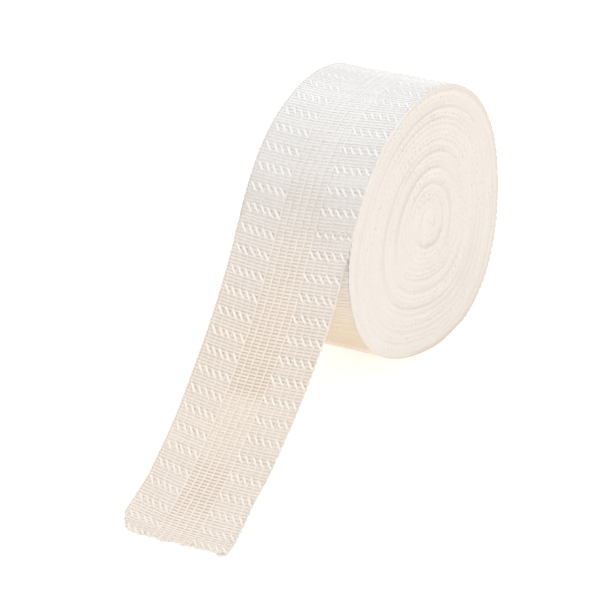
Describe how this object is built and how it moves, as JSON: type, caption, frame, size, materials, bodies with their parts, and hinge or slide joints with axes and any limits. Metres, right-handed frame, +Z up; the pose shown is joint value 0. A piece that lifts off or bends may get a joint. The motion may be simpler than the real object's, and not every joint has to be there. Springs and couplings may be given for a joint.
{
  "type": "roll of woven hem tape",
  "caption": "Small roll of cream white woven hem tape standing on its rim, with its loose end curving out and down to the surface in front.",
  "frame": {"origin": "middle of the small flat spot that the roll stands on", "axes": "+Z up, X along the axis that the tape is wound about, -Y the way the loose end runs out"},
  "size_m": [0.0273, 0.0981, 0.0504],
  "materials": {
    "woven_polyester": "soft matt weave with slightly glossy yarns"
  },
  "bodies": {
    "root": {"wound_roll": "woven_polyester", "loose_end": "woven_polyester"}
  },
  "joints": []
}
